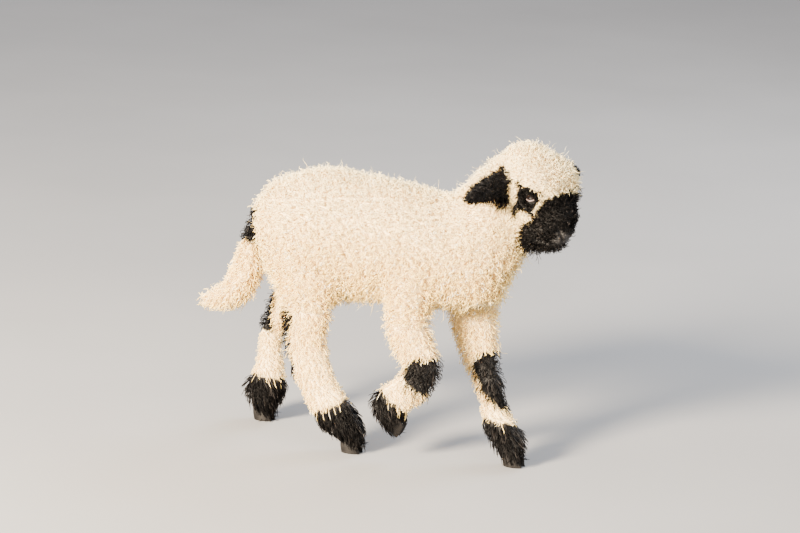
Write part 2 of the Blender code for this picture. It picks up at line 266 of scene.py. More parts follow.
def fused_flesh():
    """All nodes of flesh as one closed outline, with the eye sockets filled."""
    whole = bmesh.new()
    for name in FLESH:
        part = bmesh.new()
        part.from_mesh(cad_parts[name].data)
        bmesh.ops.remove_doubles(part, verts=part.verts, dist=1e-5)
        part.normal_update()
        for vertex, way in [(v, v.normal.copy()) for v in part.verts]:
            vertex.co += way * SEAM_CLOSING
        mesh = mesh_of("part", part)
        whole.from_mesh(mesh)
        bpy.data.meshes.remove(mesh)
    for side in (-1, 1):
        ball = EYE_RADIUS + SOCKET_FILLING
        bmesh.ops.create_uvsphere(whole, u_segments=24, v_segments=16, radius=ball, matrix=eye_place(side))
    return remeshed(linked("outline", mesh_of("outline", whole)), OUTLINE_VOXEL, OUTLINE_ROUNDS)


def zone_of(points):
    """For each point, the number of the zone whose solid is nearest."""
    labels = []
    tree_points = []
    for name in FLESH:
        zone = next((z for z in ("ear", "head", "neck", "trunk", "tail") if name.startswith(z)), None)
        if zone is None:
            zone = "leg_upper" if "upper" in name else "leg_lower"
        for co in points_of(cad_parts[name].data):
            tree_points.append(co)
            labels.append(ZONES.index(zone))
    tree = KDTree(len(tree_points))
    for i, co in enumerate(tree_points):
        tree.insert(co, i)
    tree.balance()
    return np.array([labels[tree.find(p)[1]] for p in points])


def coat_depth(points, zones):
    """How thick the coat is over the flesh at each point of the outline."""
    depth = np.array([COAT_DEPTH[z] for z in ZONES])[zones]
    x, y, z = in_head(points).T
    crown = CROWN_EXTRA * ramp(z, 0.005, 0.035) * ramp(x, 0.03, 0.0)
    under_jaw = JAW_EXTRA * ramp(z, -0.035, -0.06)
    woolly = COAT_DEPTH["head"] + crown + under_jaw
    muzzle = MUZZLE_DEPTH + CHIN_EXTRA * ramp(z, -0.040, -0.062)
    forward = ramp(x, 0.018, 0.050)
    face = woolly * (1 - forward) + muzzle * forward
    away = np.hypot(x - EYE_ALONG, z - EYE_UP)
    beside = np.abs(y) > 0.022
    near_eye = ramp(away, 0.026, 0.015) * beside
    face = face * (1 - near_eye) + EYE_DEPTH * near_eye
    return np.where(on_part(zones, "head"), face, depth)


def refine(mesh, reach, start):
    """Splits the faces round the eyes and those on the muzzle beyond start."""
    shape = bmesh.new()
    shape.from_mesh(mesh)
    middles = in_head(np.array([face.calc_center_median() for face in shape.faces]))
    chosen = around_eyes(middles, reach) | on_muzzle(middles, start)
    edges = {edge for face, take in zip(shape.faces, chosen) if take for edge in face.edges}
    bmesh.ops.subdivide_edges(shape, edges=list(edges), cuts=1, use_grid_fill=True)
    shape.to_mesh(mesh)
    shape.free()
    mesh.update()


def on_muzzle(head_points, start):
    """The front of the head, beyond start along the nose."""
    return (head_points[:, 0] > start) & (np.linalg.norm(head_points, axis=1) < HEAD_REACH)


def around_eyes(head_points, reach):
    x, y, z = head_points.T
    return (np.hypot(x - EYE_ALONG, z - EYE_UP) < reach) & (np.abs(y) > 0.020)


def about_eye(head_points):
    """Places along and up the opening of the nearer eye, which is tilted to lie nearly level."""
    x, z = head_points[:, 0] - EYE_ALONG, head_points[:, 2] - EYE_UP
    level, steep = math.cos(EYE_TILT), math.sin(EYE_TILT)
    return x * level + z * steep, z * level - x * steep


def lid_edges(along):
    """Heights of the upper and lower lid's edge over the eye, along the eye's opening."""
    arch = np.clip(1 - (along / OPENING_HALF) ** 2, 0, None)
    slope = OPENING_SLOPE * along
    return UPPER_ARCH * arch**0.9 + slope, -LOWER_ARCH * arch + slope


def shape_lids(points):
    """Lays the skin round each eye over the eyeball, with an almond opening."""
    head_points = in_head(points)
    for side in (-1, 1):
        y = head_points[:, 1]
        (along, z), out = about_eye(head_points), side * y - EYE_SPREAD
        reach = np.hypot(along, z)
        take = (reach < LID_REACH) & (out > -0.006)
        upper, lower = lid_edges(along)
        inside = np.minimum(upper - z, z - lower)
        ball = np.sqrt(np.clip((EYE_RADIUS + LID_OVER) ** 2 - reach**2, 0, None))
        height, place, width = LID_BULGE
        bulge = height * np.exp(-((inside + place) / width) ** 2)
        height, place, width = LID_CREASE
        crease = -height * np.exp(-((z - upper - place) / width) ** 2) * (reach < CREASE_REACH)
        lid = ball + bulge + crease
        hidden = np.sqrt(np.clip((EYE_RADIUS - LID_UNDER) ** 2 - reach**2, 0, None))
        open_eye = ramp(inside, -0.0001, 0.0006)
        near = lid * (1 - open_eye) + hidden * open_eye
        keep = ramp(reach, *LID_BLEND)
        moved = near * (1 - keep) + out * keep
        head_points[:, 1] = np.where(take, side * (moved + EYE_SPREAD), y)
    return from_head(head_points)


def near_path(points, path):
    """Distance of each point from a broken line."""
    best = np.full(len(points), 1e9)
    for start, end in zip(np.array(path[:-1], float), np.array(path[1:], float)):
        way = end - start
        t = np.clip(((points - start) @ way) / (way @ way), 0, 1)
        best = np.minimum(best, np.linalg.norm(points - start - t[:, None] * way, axis=1))
    return best


# Lines on the muzzle, in the head's frame: nostril, the wing over it, mouth and the cleft of the upper lip.
# MUZZLE_SQUEEZE makes their distance from the skin count less than their distance along it.
NOSTRIL = ((0.074, 0.0050, -0.003), (0.071, 0.0115, 0.003), (0.062, 0.0165, 0.009))
WING = ((0.074, 0.0075, 0.004), (0.069, 0.0140, 0.009), (0.062, 0.0190, 0.012))
MOUTH = ((0.0725, 0.0, -0.021), (0.067, 0.014, -0.023), (0.056, 0.025, -0.032))
CLEFT = ((0.074, 0.0, -0.003), (0.0725, 0.0, -0.020))
MUZZLE_SQUEEZE = 0.35

# How deep and how wide each line is pressed in; the wing stands out
MUZZLE_LINES = (
    (NOSTRIL, 0.0046, 0.0021),
    (WING, -0.0013, 0.0024),
    (MOUTH, 0.0026, 0.0015),
    (CLEFT, 0.0014, 0.0013),
)


def near_muzzle_line(head_points, line):
    """Distance from a line that both sides of the muzzle have; far off away from the muzzle."""
    x, y, z = head_points.T
    squeezed = np.column_stack([x * MUZZLE_SQUEEZE, np.abs(y), z])
    away = near_path(squeezed, [(x * MUZZLE_SQUEEZE, y, z) for x, y, z in line])
    return np.where(on_muzzle(head_points, 0.030), away, 1.0)


def carve_muzzle(points, normals):
    """Nostrils, the cleft of the upper lip and the line of the mouth."""
    head_points = in_head(points)
    push = np.zeros(len(points))
    for line, depth, width in MUZZLE_LINES:
        push += depth * np.exp(-((near_muzzle_line(head_points, line) / width) ** 2))
    return points - normals * push[:, None]


def skin_under(outline):
    """The skin: the outline drawn in by the coat's depth, with lids, nostrils and mouth."""
    mesh = outline.data.copy()
    edges = edges_of(mesh)
    points = points_of(mesh)
    depth = relaxed(coat_depth(points, zone_of(points)), edges, 8)
    normals = unit(relaxed(normals_of(mesh), edges, 2))
    mesh.vertices.foreach_set("co", (points - normals * depth[:, None]).ravel())
    skin = remeshed(linked("skin", mesh), SKIN_VOXEL, SKIN_ROUNDS)
    mesh = skin.data
    for reach, start in FINER:
        refine(mesh, reach, start)
    points = points_of(mesh)
    calm = relaxed(points, edges_of(mesh), 2)
    head_points = in_head(points)
    reach, start = CALMED
    soft = around_eyes(head_points, reach) | on_muzzle(head_points, start)
    points = np.where(soft[:, None], calm, points)
    mesh.vertices.foreach_set("co", points.ravel())
    mesh.update()
    points = carve_muzzle(points, normals_of(mesh))
    points = shape_lids(points)
    mesh.vertices.foreach_set("co", points.ravel())
    mesh.update()
    mesh.shade_smooth()
    return skin


def unwrap(piece):
    """An unwrap of the piece's own shape, in its map OFBake."""
    while piece.data.uv_layers:
        piece.data.uv_layers.remove(piece.data.uv_layers[0])
    piece.data.uv_layers.new(name="OFBake")
    bpy.context.view_layer.objects.active = piece
    piece.select_set(True)
    bpy.ops.object.mode_set(mode="EDIT")
    bpy.ops.mesh.select_all(action="SELECT")
    bpy.ops.uv.smart_project(angle_limit=math.radians(66), island_margin=0.001)
    bpy.ops.object.mode_set(mode="OBJECT")
    piece.select_set(False)


# Markings


def inside(across, up, outline):
    """1 inside an outline drawn in a plane, fading to 0 outside it."""
    corners = np.array(outline, float)
    place = np.column_stack([across, up])
    flat = np.column_stack([across, up, np.zeros(len(across))])
    closed = np.column_stack([corners, np.zeros(len(corners))])
    away = near_path(flat, np.vstack([closed, closed[:1]]))
    within = np.zeros(len(across), bool)
    for start, end in zip(corners, np.roll(corners, -1, axis=0)):
        level = (start[1] > place[:, 1]) != (end[1] > place[:, 1])
        rise = np.where(level, place[:, 1] - start[1], 0) / ((end[1] - start[1]) or 1)
        within ^= level & (place[:, 0] < start[0] + (end[0] - start[0]) * rise)
    return ramp(np.where(within, away, -away), -HALF_BLEND, HALF_BLEND)


def below(points, place, way):
    """1 on the far side of a plane of the drawing frame, against way."""
    away = (points - settled(place)) @ unit(np.array(way, float))
    return ramp(away, 0.0015, -0.0015)


# The edge of the black muzzle: heights in the head's frame, how far along the head it lies there, and half
# the width over which it and the other outlines fade
MUZZLE_HEIGHTS = (-0.075, -0.060, -0.046, -0.030, -0.015, -0.005, 0.004, 0.020, 0.044)
MUZZLE_EDGE = (0.0560, 0.0430, 0.0348, 0.0315, 0.0330, 0.0310, 0.0272, 0.0250, 0.0226)
HALF_BLEND = 0.0012

# Heights between which the black ends under the jaw, and how far from the middle the eye patches begin
JAW_END = (-0.088, -0.082)
PATCH_SIDE = 0.018

# The patch round each eye, (x, z) in the head's frame
EYE_PATCH = (
    (-0.026, -0.002), (-0.025, 0.006), (-0.019, 0.010), (-0.012, 0.010), (-0.006, 0.021), (0.001, 0.030),
    (0.010, 0.034), (0.015, 0.027), (0.015, 0.016), (0.018, 0.008), (0.024, 0.001), (0.032, -0.006),
    (0.022, -0.012), (0.010, -0.019), (0.011, -0.040), (0.003, -0.030), (-0.004, -0.018), (-0.012, -0.008),
    (-0.018, -0.001),
)

# Patches on knees, hocks and the root of the tail, (x, z) in the drawing frame. The last also has a middle
# and a half width across the body.
RIGHT_KNEE = (
    (0.040, 0.158), (0.062, 0.171), (0.110, 0.170), (0.112, 0.124), (0.070, 0.109), (0.049, 0.121),
    (0.033, 0.136),
)
LEFT_KNEE = (
    (0.120, 0.161), (0.150, 0.170), (0.185, 0.160), (0.186, 0.086), (0.166, 0.086), (0.139, 0.101),
    (0.114, 0.134),
)
LEFT_HOCK = (
    (-0.275, 0.212), (-0.226, 0.220), (-0.219, 0.200), (-0.228, 0.172), (-0.222, 0.148), (-0.262, 0.142),
)
RIGHT_HOCK = (
    (-0.200, 0.224), (-0.152, 0.220), (-0.139, 0.200), (-0.152, 0.180), (-0.150, 0.150),
    (-0.141, 0.128), (-0.146, 0.110), (-0.180, 0.120),
)
TAIL_ROOT = (
    (-0.262, 0.346), (-0.232, 0.356), (-0.218, 0.338), (-0.206, 0.306), (-0.222, 0.296), (-0.262, 0.304),
)
TAIL_ROOT_MIDDLE = 0.004
TAIL_ROOT_HALF_WIDTH = 0.034

# Fore from hind legs and left from right ones, and how high the marks of feet and knees can lie
MID_LENGTH = -0.0225
MID_WIDTH = -0.0215
FOOT_TOP = 0.125
KNEE_TOP = 0.20

# The upper edges of the black feet: whether fore and left, a place on the edge and the way out of the black
FOOT_EDGES = (
    (True, True, (0.165, 0.0, 0.066), (0.06, 0.0, 1.0)),
    (True, False, (0.012, 0.0, 0.100), (0.61, 0.0, 0.79)),
    (False, True, (-0.230, 0.0, 0.074), (0.10, 0.0, 1.0)),
    (False, False, (-0.077, 0.0, 0.074), (-0.50, 0.0, 1.0)),
)


def face_marks(points):
    """The black of the muzzle and the patches round the eyes."""
    x, y, z = in_head(points).T
    edge = 0.0022 * ripple(points, 0.0035, 5) + 0.0014 * ripple(points, 0.0012, 6)
    start = np.interp(z, MUZZLE_HEIGHTS, MUZZLE_EDGE)
    muzzle = ramp(x + edge, start - HALF_BLEND, start + HALF_BLEND)
    patches = inside(x + edge, z - edge, EYE_PATCH) * (np.abs(y) > PATCH_SIDE)
    return np.maximum(muzzle * ramp(z, *JAW_END), patches)


def dark_marks(points, zones):
    """Black muzzle, eye patches, ears, knees, hocks, feet and root of the tail, at the coat's surface."""
    x, y, z = (points - np.array(SHIFT)).T
    noise = [ripple(points, 0.004, k) + 0.6 * ripple(points, 0.0015, k + 40) for k in (11, 12, 13)]
    jitter = points + 0.0024 * np.column_stack(noise)
    jx, jy, jz = (jitter - np.array(SHIFT)).T
    left = y > MID_WIDTH
    fore = x > MID_LENGTH
    knee_high = z < KNEE_TOP
    on_leg = on_part(zones, "leg_upper") | on_part(zones, "leg_lower")
    by_tail = ramp(np.abs(jy - TAIL_ROOT_MIDDLE), TAIL_ROOT_HALF_WIDTH, TAIL_ROOT_HALF_WIDTH - 0.004)
    marks = np.where(on_part(zones, "head"), face_marks(points), 0.0)
    marks = np.maximum(marks, on_part(zones, "ear"))
    for is_fore, is_left, place, way in FOOT_EDGES:
        here = (fore == is_fore) & (left == is_left) & (z < FOOT_TOP)
        marks = np.maximum(marks, below(jitter, place, way) * here)
    for outline, here in (
        (RIGHT_KNEE, fore & ~left & knee_high),
        (LEFT_KNEE, fore & left & knee_high),
        (LEFT_HOCK, ~fore & left & on_leg),
        (RIGHT_HOCK, ~fore & ~left & on_leg),
        (TAIL_ROOT, ~fore * by_tail),
    ):
        marks = np.maximum(marks, inside(jx, jz, outline) * here)
    return marks


def bare_skin(points, zones):
    """Where the dark skin of nostrils, lips and lids shows."""
    head_points = in_head(points)
    x, _, z = head_points.T
    nose = ramp(x, 0.066, 0.071) * ramp(z, -0.018, -0.008) * ramp(z, 0.014, 0.006)
    nostril = ramp(near_muzzle_line(head_points, NOSTRIL), 0.0042, 0.0024)
    lips = ramp(near_muzzle_line(head_points, MOUTH), 0.0032, 0.0016)
    along, up = about_eye(head_points)
    upper, lower = lid_edges(along)
    outside = np.maximum(up - upper, lower - up)
    rim = ramp(outside, 0.0022, 0.0012) * around_eyes(head_points, 0.0115)
    return np.max([nose, nostril, lips, rim], axis=0) * on_part(zones, "head")


def lower_lids(points):
    """The pale pinkish edge along the lower lids."""
    head_points = in_head(points)
    along, up = about_eye(head_points)
    _, lower = lid_edges(along)
    edge = ramp(np.abs(up - lower + 0.0009), 0.0011, 0.0005)
    ends = ramp(along, -0.0100, -0.0075) * ramp(along, 0.0108, 0.0088)
    return edge * ends * around_eyes(head_points, 0.013)


# The coat


# How warm the cream is at heights above the floor, and how much more on what doesn't face up
# The warm cream is the fleece's own colour; its paling high up and on what faces up is painted cool sky
# light.
WARM_HEIGHTS = (0.10, 0.20, 0.26, 0.34, 0.42)
WARM_SHARES = (0.50, 0.65, 0.75, 0.35, 0.05)
WARMER_AWAY_FROM_SKY_LIGHT = 0.30

# The thinly haired place inside the top of the left fore leg, in the drawing frame, and how far it fades out
THIN_PLACE = (0.137, -0.004, 0.236)
THIN_EDGE = (0.036, 0.018)
THIN_LOSS = 0.55
THIN_PALENESS = 0.9

# How much longer the wool grows where it hangs and the fringe of the ears, and how far the fringe droops
HANGING_GROWTH = 0.30
FRINGE_GROWTH = 1.3
FRINGE_DROOP = 0.006

# How deep the roots stand, how far apart tips can still be drawn together, and a lock's widths along it
ROOT_DEPTH = 0.0006
CLUMP_REACH = (0.014, 0.004)
LOCK_PLACES = (0, 0.25, 0.7, 1.0)
LOCK_WIDTHS = (0.80, 1.0, 0.85, 0.40)

# Where on the coat's depth a lock's colour is read, and the ring round the eyes that stays nearly hairless
COLOUR_DEPTH = 0.7
HAIRLESS_RING = 0.0108

# Below these heights the lower legs' hair points forward, and black hair there counts as hair of the foot
FOOT_HAIR_TOP = 0.11
LOW_LEG_TOP = 0.13


def thin_coat(points):
    """1 in the middle of the thinly haired place, 0 outside it."""
    return ramp(np.linalg.norm(points - settled(THIN_PLACE), axis=1), *THIN_EDGE)


def warmth_and_painted_sky_light(points, normals):
    """Warmth of the cream, 0 palest to 1 warmest: the fleece's own tone, paled high up and on what faces up
    as painted sky light.
    """
    high = np.interp(points[:, 2], WARM_HEIGHTS, WARM_SHARES)
    warmth = np.clip(high + WARMER_AWAY_FROM_SKY_LIGHT * ramp(normals[:, 2], 0.8, -0.3), 0, 1)
    return warmth * (1 - THIN_PALENESS * thin_coat(points))


class Coat:
    """Where locks can grow on the skin: points, normals, unwrap places and coat depths of its triangles."""

    def __init__(self, skin, outline):
        mesh = skin.data
        mesh.calc_loop_triangles()
        self.corners = read(mesh.loop_triangles, "vertices", 3, np.int32)
        loops = read(mesh.loop_triangles, "loops", 3, np.int32)
        self.spread = read(mesh.uv_layers["OFBake"].data, "uv", 2)[loops].astype(float)
        self.points = points_of(mesh)
        edges = edges_of(mesh)
        self.normals = unit(relaxed(normals_of(mesh), edges, 3))
        self.zones = zone_of(self.points)
        tree = BVHTree.FromObject(outline, bpy.context.evaluated_depsgraph_get())
        room = np.array([tree.find_nearest(p)[3] for p in self.points])
        self.room = relaxed(room, edges, 3)
        self.dark = dark_marks(self.points + self.normals * self.room[:, None] * COLOUR_DEPTH, self.zones)
        a, b, c = (self.points[self.corners[:, k]] for k in range(3))
        self.area = np.linalg.norm(np.cross(b - a, c - a), axis=1) / 2

    def roots(self, count, weight, seed):
        """Evenly spread roots, thicker where the weight on the vertices is larger."""
        rng = np.random.default_rng(seed)
        share = self.area * weight[self.corners].mean(axis=1)
        steps = np.cumsum(share)
        wanted = (np.arange(count) + rng.uniform(size=count)) * steps[-1] / count
        face = np.minimum(np.searchsorted(steps, wanted), len(steps) - 1)
        first, second = rng.uniform(size=(2, count))
        flip = first + second > 1
        first[flip], second[flip] = 1 - first[flip], 1 - second[flip]
        part = np.column_stack([1 - first - second, first, second])

        def at_roots(values):
            picked = values[self.corners[face]]
            return (picked * (part[..., None] if picked.ndim == 3 else part)).sum(axis=1)

        points = at_roots(self.points)
        normals = unit(at_roots(self.normals))
        room = at_roots(self.room)
        zones = self.zones[self.corners[face, 0]]
        return {
            "point": points,
            "normal": normals,
            "room": room,
            "uv": (self.spread[face] * part[..., None]).sum(axis=1),
            "zone": zones,
            "dark": dark_marks(points + normals * room[:, None] * COLOUR_DEPTH, zones),
            "warmth": warmth_and_painted_sky_light(points, normals),
            "rng": rng,
        }


def lie_of_coat(points, normals, zones):
    """The way the hair lies: back along the face, down the legs and tail, down and back on the trunk."""
    lie = np.tile(np.array((-0.45, 0.0, -0.85)), (len(points), 1))
    lie[on_part(zones, "leg_upper") | on_part(zones, "leg_lower")] = (-0.15, 0.0, -1.0)
    lie[on_part(zones, "tail")] = (-0.45, 0.0, -0.9)
    lie[on_part(zones, "leg_lower") & (points[:, 2] < FOOT_HAIR_TOP)] = (0.30, 0.0, -0.95)
    x, y, _ = in_head(points).T
    side, one = np.sign(y), np.ones(len(x))
    back = np.column_stack([-one, 0.5 * side, 0.15 * one])
    crown = np.column_stack([x + 0.035, 0.9 * y, -0.01 * one])
    share = ramp(x, 0.03, 0.005)[:, None]
    head_lie = (unit(back) * (1 - share) + unit(crown) * share) @ HEAD_AXES.T
    lie = np.where(on_part(zones, "head")[:, None], head_lie, lie)
    ear_lie = np.column_stack([0.10 * one, side, -0.25 * one]) @ HEAD_AXES.T
    lie = np.where(on_part(zones, "ear")[:, None], ear_lie, lie)
    lie = lie - normals * (lie * normals).sum(axis=1)[:, None]
    return unit(lie)


def across(ways, rng):
    """Two unit vectors square to each way, turned at random."""
    any_way = rng.normal(size=ways.shape)
    one = unit(np.cross(ways, any_way))
    return one, np.cross(ways, one)


def leaders_of(points, share, seed):
    """For each lock, the nearest of the few locks that lead their neighbours."""
    rng = np.random.default_rng(seed)
    leaders = rng.choice(len(points), max(1, int(len(points) * share)), replace=False)
    tree = KDTree(len(leaders))
    for i, leader in enumerate(leaders):
        tree.insert(points[leader], i)
    tree.balance()
    nearest = np.array([tree.find(p)[1] for p in points])
    return leaders[nearest]


def ear_fringe(points, zones):
    """1 where the longer hair hangs from the lower edge of the ears, near their roots."""
    _, y, z = in_head(points).T
    edge = ramp(z + 0.30 * (np.abs(y) - 0.036), -0.016, -0.024)
    return edge * ramp(np.abs(y), 0.086, 0.066) * on_part(zones, "ear")


def grown(roots, style, seed):
    """Centre lines and thicknesses of the locks: a lean from the skin with a curl about it."""
    rng = roots["rng"]
    points, normals = roots["point"], roots["normal"]
    count, steps = len(points), style["steps"]
    lie = lie_of_coat(points, normals, roots["zone"])
    room = np.clip(roots["room"], style.get("least_room", 0.0015), 0.020)
    woolly = on_part(roots["zone"], "trunk") | on_part(roots["zone"], "neck")
    hanging = ramp(-normals[:, 2] + 0.5 * normals[:, 0], 0.2, 0.9) * woolly
    fringe = ear_fringe(points, roots["zone"])
    growth = 1 + HANGING_GROWTH * hanging + FRINGE_GROWTH * fringe
    height = room * rng.uniform(*style["height"], size=count) * growth
    height *= 1 - THIN_LOSS * thin_coat(points)
    by_claws = style.get("over_claws", 0.0) * ramp(points[:, 2], 0.040, 0.014)
    lean = style["lean"] * height + style.get("slide", 0.0) + by_claws
    wander = rng.normal(size=(count, 3)) * style["wander"] * height[:, None]
    tips = normals * height[:, None] + lie * lean[:, None] + wander
    tips[:, 2] -= FRINGE_DROOP * fringe
    leaders = leaders_of(points, style["clump_share"], seed)
    pull = points[leaders] + tips[leaders] - points
    reach = np.linalg.norm(pull - tips, axis=1)
    strength = style["clump"] * ramp(reach, *CLUMP_REACH)
    tips = tips * (1 - strength[:, None]) + pull * strength[:, None]
    t = np.linspace(0, 1, steps + 1)[None, :, None]
    out = 1 - (1 - t) ** style["rise"]
    arch = height[:, None, None] * out * (1 - out) * style["bend"]
    straight = points[:, None] - normals[:, None] * ROOT_DEPTH
    path = straight + normals[:, None] * arch + tips[:, None] * out
    one, two = across(unit(tips), rng)
    phase = rng.uniform(0, 2 * math.pi, count)[leaders] + rng.normal(size=count) * 0.9
    turns = rng.uniform(*style["turns"], size=count) * np.where(rng.uniform(size=count)[leaders] < 0.5, -1, 1)
    radius = style["curl"] * rng.uniform(0.7, 1.25, count)
    radius = np.minimum(radius, 0.30 * np.linalg.norm(tips, axis=1))
    along = t[..., 0]
    angle = phase[:, None] + 2 * math.pi * turns[:, None] * along
    swing = radius[:, None] * ramp(along, 0.0, 0.60)
    path = path + one[:, None] * (np.cos(angle) * swing)[..., None]
    path = path + two[:, None] * (np.sin(angle) * swing)[..., None]
    belly = np.interp(along, LOCK_PLACES, LOCK_WIDTHS)
    thick = style["thick"] * rng.uniform(0.8, 1.25, count)[:, None] * belly
    return path, thick


def lock_mesh(name, roots, path, thick, take, tone_seed):
    """One mesh of three-sided tapering locks; every lock's patch on OFBake lies at its root's place."""
    path, thick = path[take], thick[take]
    count, rings = path.shape[0], path.shape[1]
    tangent = unit(np.gradient(path, axis=1))
    hint = roots["normal"][take][:, None] + 0.01
    one = unit(np.cross(tangent, hint))
    two = np.cross(tangent, one)
    corners = []
    for k in range(3):
        turn = 2 * math.pi * k / 3
        ring = path + (one * math.cos(turn) + two * math.sin(turn)) * thick[..., None]
        corners.append(ring[:, :-1])
    body = np.stack(corners, axis=2).reshape(count, -1, 3)
    vertices = np.concatenate([body, path[:, -1:]], axis=1)
    vertices[..., 2] = np.maximum(vertices[..., 2], FLOOR_CLEARANCE)
    each = vertices.shape[1]
    quads = []
    for i in range(rings - 2):
        for k in range(3):
            after = (k + 1) % 3
            quads.append((3 * i + k, 3 * i + after, 3 * i + 3 + after, 3 * i + 3 + k))
    last = 3 * (rings - 2)
    triangles = [(last + k, last + (k + 1) % 3, each - 1) for k in range(3)] + [(0, 2, 1)]
    base = (np.arange(count) * each)[:, None]
    loop = np.concatenate([np.array(quads).ravel(), np.array(triangles).ravel()])
    loops = (base + loop[None]).ravel()
    sizes = np.tile([4] * len(quads) + [3] * len(triangles), count)
    starts = np.concatenate([[0], np.cumsum(sizes)[:-1]])
    mesh = bpy.data.meshes.new(name)
    mesh.vertices.add(count * each)
    mesh.vertices.foreach_set("co", vertices.astype(np.float32).ravel())
    mesh.loops.add(len(loops))
    mesh.loops.foreach_set("vertex_index", loops.astype(np.int32))
    mesh.polygons.add(len(sizes))
    mesh.polygons.foreach_set("loop_start", starts.astype(np.int32))
    mesh.polygons.foreach_set("loop_total", sizes.astype(np.int32))
    mesh.update(calc_edges=True)
    mesh.shade_smooth()
    share = np.append(np.repeat(np.arange(rings - 1) / (rings - 1), 3), 1.0)
    side = np.append(np.tile(np.arange(3) / 2, rings - 1), 0.5)
    offset = (np.column_stack([side, share]) - 0.5) * PATCH
    uv = (roots["uv"][take][:, None] + offset[None]).reshape(-1, 2)[loops]
    layer = mesh.uv_layers.new(name="OFBake")
    layer.data.foreach_set("uv", np.clip(uv, 0, 1).astype(np.float32).ravel())
    rng = np.random.default_rng(tone_seed)
    put(mesh, "tone", np.repeat(rng.uniform(size=count), each))
    put(mesh, "reach", np.tile(share, count))
    put(mesh, "warmth", np.repeat(roots["warmth"][take], each))
    return mesh


def put(mesh, name, values):
    layer = mesh.attributes.new(name, "FLOAT", "POINT")
    layer.data.foreach_set("value", np.asarray(values, np.float32))


def coat_pieces(name, roots, path, thick, materials, seed):
    """Parts one kind of coat into a cream and a black share, each in pieces of limited size."""
    triangles = (path.shape[1] - 2) * 6 + 4
    chance = np.random.default_rng(seed + 50).uniform(0.35, 0.65, len(path))
    for colour, chosen in (("black", roots["dark"] > chance), ("cream", roots["dark"] <= chance)):
        index = np.flatnonzero(chosen)
        if len(index) < 20:
            continue
        index = index[np.argsort(roots["point"][index, 0], kind="stable")]
        parts = math.ceil(len(index) * triangles / PIECE_LIMIT)
        for number, take in enumerate(np.array_split(index, parts), 1):
            label = f"{name}_{colour}" + (f"_{number}" if parts > 1 else "")
            mesh = lock_mesh(label, roots, path, thick, take, seed + number)
            mesh.materials.append(materials[colour])
            seated(linked(label, mesh), f"{colour}_wool")


ROOT_SEED = 100
LEADER_SEED = 21
PIECE_SEED = 200

STYLES = {
    "wool": {
        "steps": 6, "height": (0.66, 0.98), "lean": 0.22, "wander": 0.22, "curl": 0.0022, "turns": (0.9, 1.5),
        "rise": 1.6, "thick": 0.00058, "clump": 0.45, "clump_share": 0.26, "bend": 0.4,
    },
    "crown": {
        "steps": 6, "height": (0.52, 0.86), "lean": 0.16, "wander": 0.24, "curl": 0.0016, "turns": (0.8, 1.5),
        "rise": 1.3, "thick": 0.00048, "clump": 0.40, "clump_share": 0.26, "bend": 0.4,
        "least_room": 0.0065,
    },
    "leg": {
        "steps": 5, "height": (0.70, 1.12), "lean": 0.60, "slide": 0.003, "wander": 0.28, "curl": 0.0018,
        "rise": 1.4, "turns": (0.6, 1.2), "thick": 0.00052, "clump": 0.40, "clump_share": 0.26, "bend": 0.7,
    },
    "tail": {
        "steps": 5, "height": (0.75, 1.12), "lean": 0.60, "slide": 0.003, "wander": 0.28, "curl": 0.0019,
        "rise": 1.5, "turns": (0.7, 1.3), "thick": 0.00060, "clump": 0.50, "clump_share": 0.24, "bend": 0.6,
    },
    "fuzz": {
        "steps": 4, "height": (0.75, 1.35), "lean": 0.45, "slide": 0.0010, "wander": 0.38, "curl": 0.0014,
        "rise": 1.4, "turns": (0.7, 1.2), "thick": 0.00044, "clump": 0.50, "clump_share": 0.25, "bend": 0.8,
        "least_room": 0.0042,
    },
    "foot": {
        "steps": 4, "height": (0.80, 1.40), "lean": 1.00, "slide": 0.012, "wander": 0.30, "curl": 0.0011,
        "rise": 1.2, "turns": (0.4, 0.8), "thick": 0.00052, "clump": 0.50, "clump_share": 0.22, "bend": 0.8,
        "least_room": 0.0035, "over_claws": 0.010,
    },
    "stray": {
        "steps": 4, "height": (1.00, 1.18), "lean": 0.40, "slide": 0.002, "wander": 0.40, "curl": 0.0022,
        "rise": 1.2, "turns": (0.7, 1.4), "thick": 0.00022, "clump": 0.10, "clump_share": 0.20, "bend": 0.5,
    },
}


def grow_coat(coat, materials):
    """Every kind of coat where it grows."""
    zone = {name: on_part(coat.zones, name) for name in ZONES}
    dark = coat.dark > 0.5
    eye_gap = 1 - 0.97 * around_eyes(in_head(coat.points), HAIRLESS_RING)
    short_face = zone["head"] & dark
    face = np.where(zone["head"] | zone["ear"], eye_gap, 0.0)
    low_leg = zone["leg_lower"] & (coat.points[:, 2] < LOW_LEG_TOP)
    weights = {
        "wool": (zone["trunk"] | zone["neck"]).astype(float),
        "crown": (zone["head"] & ~short_face) * face,
        "leg": (zone["leg_upper"] | (zone["leg_lower"] & ~dark)).astype(float),
        "tail": zone["tail"].astype(float),
        "fuzz": (short_face | zone["ear"]) * face * (1 - 0.95 * bare_skin(coat.points, coat.zones)),
        "foot": (low_leg & dark).astype(float),
        "stray": np.where(zone["ear"] | dark, 0.25, 1.0) * (coat.room > 0.004),
    }
    for number, (kind, weight) in enumerate(weights.items()):
        roots = coat.roots(LOCKS[kind], weight, ROOT_SEED + number)
        path, thick = grown(roots, STYLES[kind], LEADER_SEED + number)
        coat_pieces(kind, roots, path, thick, materials, PIECE_SEED + 10 * number)


# Materials


def new_material(name):
    made = bpy.data.materials.new(name)
    made.use_nodes = True
    tree = made.node_tree
    return made, tree, tree.nodes["Principled BSDF"]


def node(tree, kind, **settings):
    made = tree.nodes.new(kind)
    for key, value in settings.items():
        setattr(made, key, value)
    return made


def attribute(tree, name):
    return node(tree, "ShaderNodeAttribute", attribute_name=name).outputs["Fac"]


def feed(tree, socket, value):
    """Sets a socket to a plain value, or links another socket to it."""
    if isinstance(value, bpy.types.NodeSocket):
        tree.links.new(value, socket)
    else:
        socket.default_value = value


